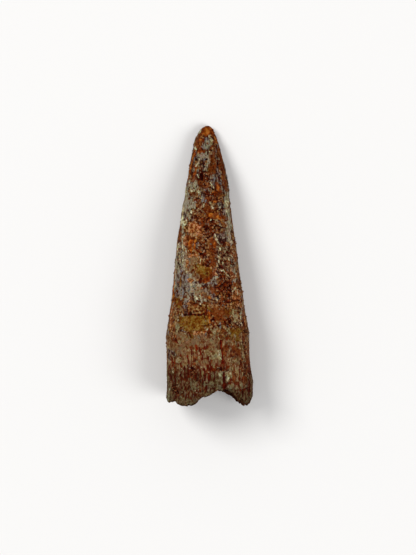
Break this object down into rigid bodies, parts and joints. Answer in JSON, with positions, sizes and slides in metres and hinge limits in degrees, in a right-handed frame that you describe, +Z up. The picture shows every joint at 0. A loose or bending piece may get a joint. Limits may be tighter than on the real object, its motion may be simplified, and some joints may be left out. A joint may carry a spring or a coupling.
{
  "type": "pterosaur fossil tooth",
  "caption": "Slender hollow fossil tooth lying on its side, with a blunt tip, a rough oval root and a broken rim that opens its pulp cavity.",
  "frame": {"origin": "on the surface it lies on, under the middle of the tooth's box", "axes": "+Y along the tooth to its tip, +X across its width, +Z up from the surface it lies on"},
  "size_m": [0.013, 0.042, 0.0093],
  "materials": {
    "fossil": "satin"
  },
  "bodies": {
    "root": {"tooth": "fossil"}
  },
  "joints": []
}
